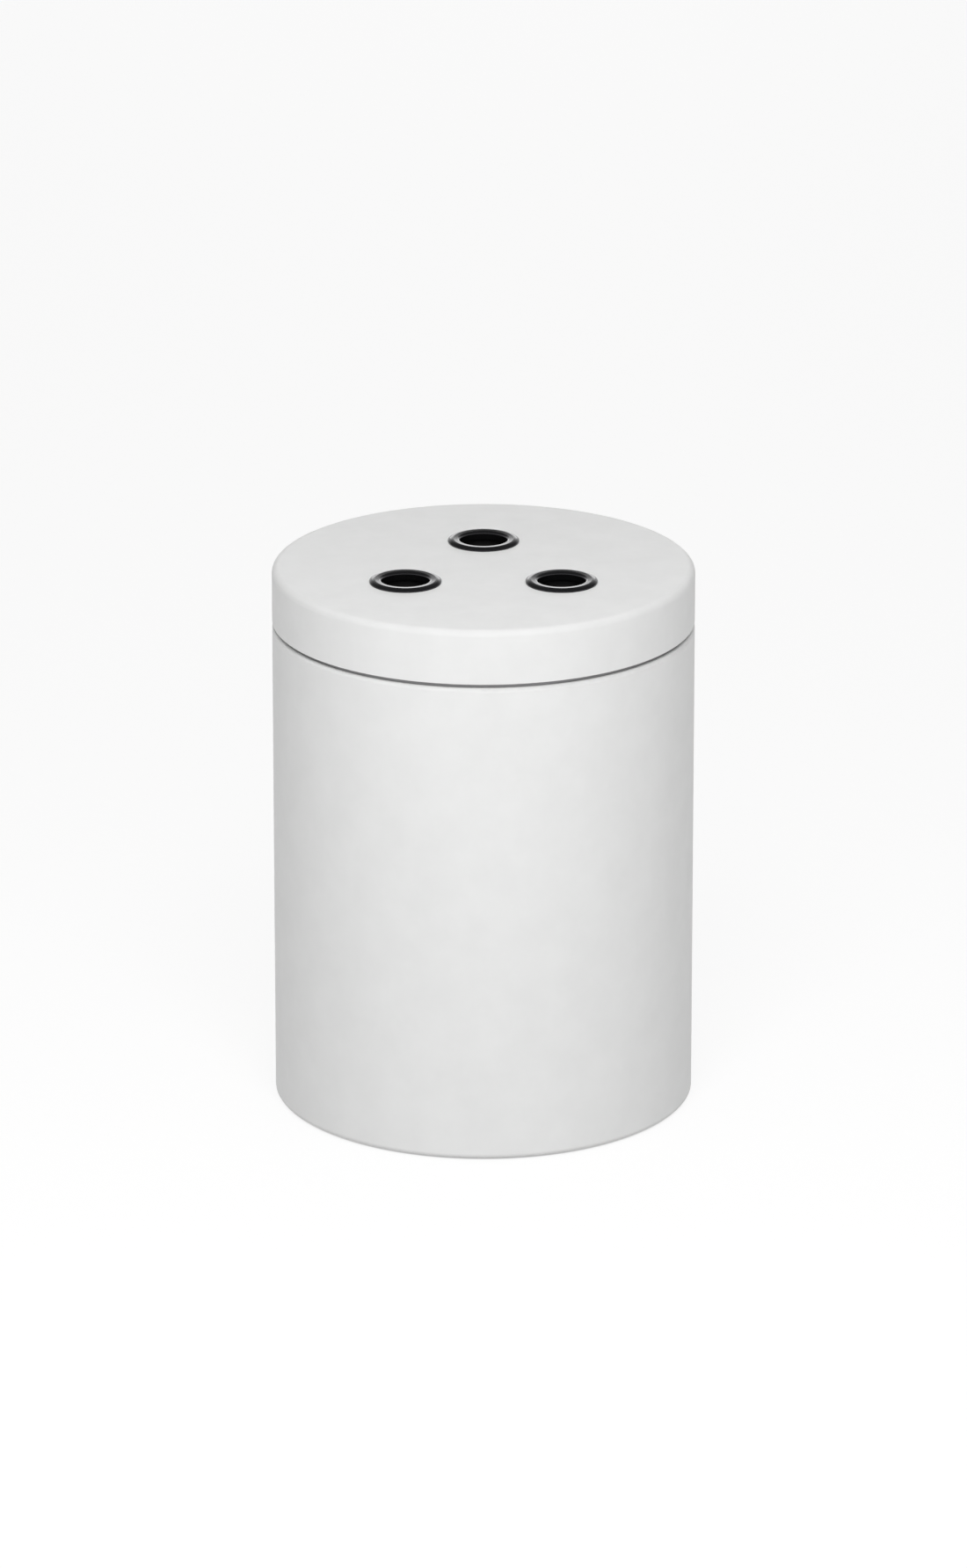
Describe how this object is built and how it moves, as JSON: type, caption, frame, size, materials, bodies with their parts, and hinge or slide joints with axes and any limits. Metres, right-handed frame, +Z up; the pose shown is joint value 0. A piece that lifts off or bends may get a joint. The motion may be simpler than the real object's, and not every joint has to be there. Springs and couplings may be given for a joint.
{
  "type": "fire blanket canister",
  "caption": "Free-standing round canister with a push-on lid lifted by three finger holes, holding a rolled fire blanket with pull tapes.",
  "frame": {"origin": "centre of the standing plane, on the can's axis", "axes": "+Z up along the can's axis, -Y towards the front, with two of the three finger holes"},
  "size_m": [0.18, 0.18, 0.2376],
  "materials": {
    "white_coating": "matte",
    "bare_steel": "satin",
    "dark_steel": "matte",
    "black_nickel": "gloss",
    "black_plastic": "matte",
    "black_rubber": "matte",
    "glass_cloth": "satin",
    "tape_webbing": "matte"
  },
  "bodies": {
    "can": {"can_wall": "white_coating", "neck_ring": "dark_steel", "base_pan": "bare_steel", "cushion_ring": "black_rubber", "foot_pad_1": "black_rubber", "foot_pad_2": "black_rubber", "foot_pad_3": "black_rubber", "foot_pad_4": "black_rubber"},
    "lid": {"lid_shell": "white_coating", "eyelet_back": "black_nickel", "eyelet_washer_back": "bare_steel", "finger_cup_back": "black_plastic", "eyelet_left": "black_nickel", "eyelet_washer_left": "bare_steel", "finger_cup_left": "black_plastic", "eyelet_right": "black_nickel", "eyelet_washer_right": "bare_steel", "finger_cup_right": "black_plastic"},
    "blanket": {"fire_blanket": "glass_cloth", "pull_tape_left": "tape_webbing", "pull_tape_right": "tape_webbing"}
  },
  "joints": [
    {"name": "lid_lift", "type": "slide", "parent": "can", "child": "lid", "axis": [0, 0, 1], "range_m": [0, 0.39]},
    {"name": "blanket_lift", "type": "slide", "parent": "can", "child": "blanket", "axis": [0, 0, 1], "range_m": [0, 0.234]}
  ],
  "couplings": [
    {"joint": "blanket_lift", "follows": "lid_lift", "ratio": 0.6}
  ]
}
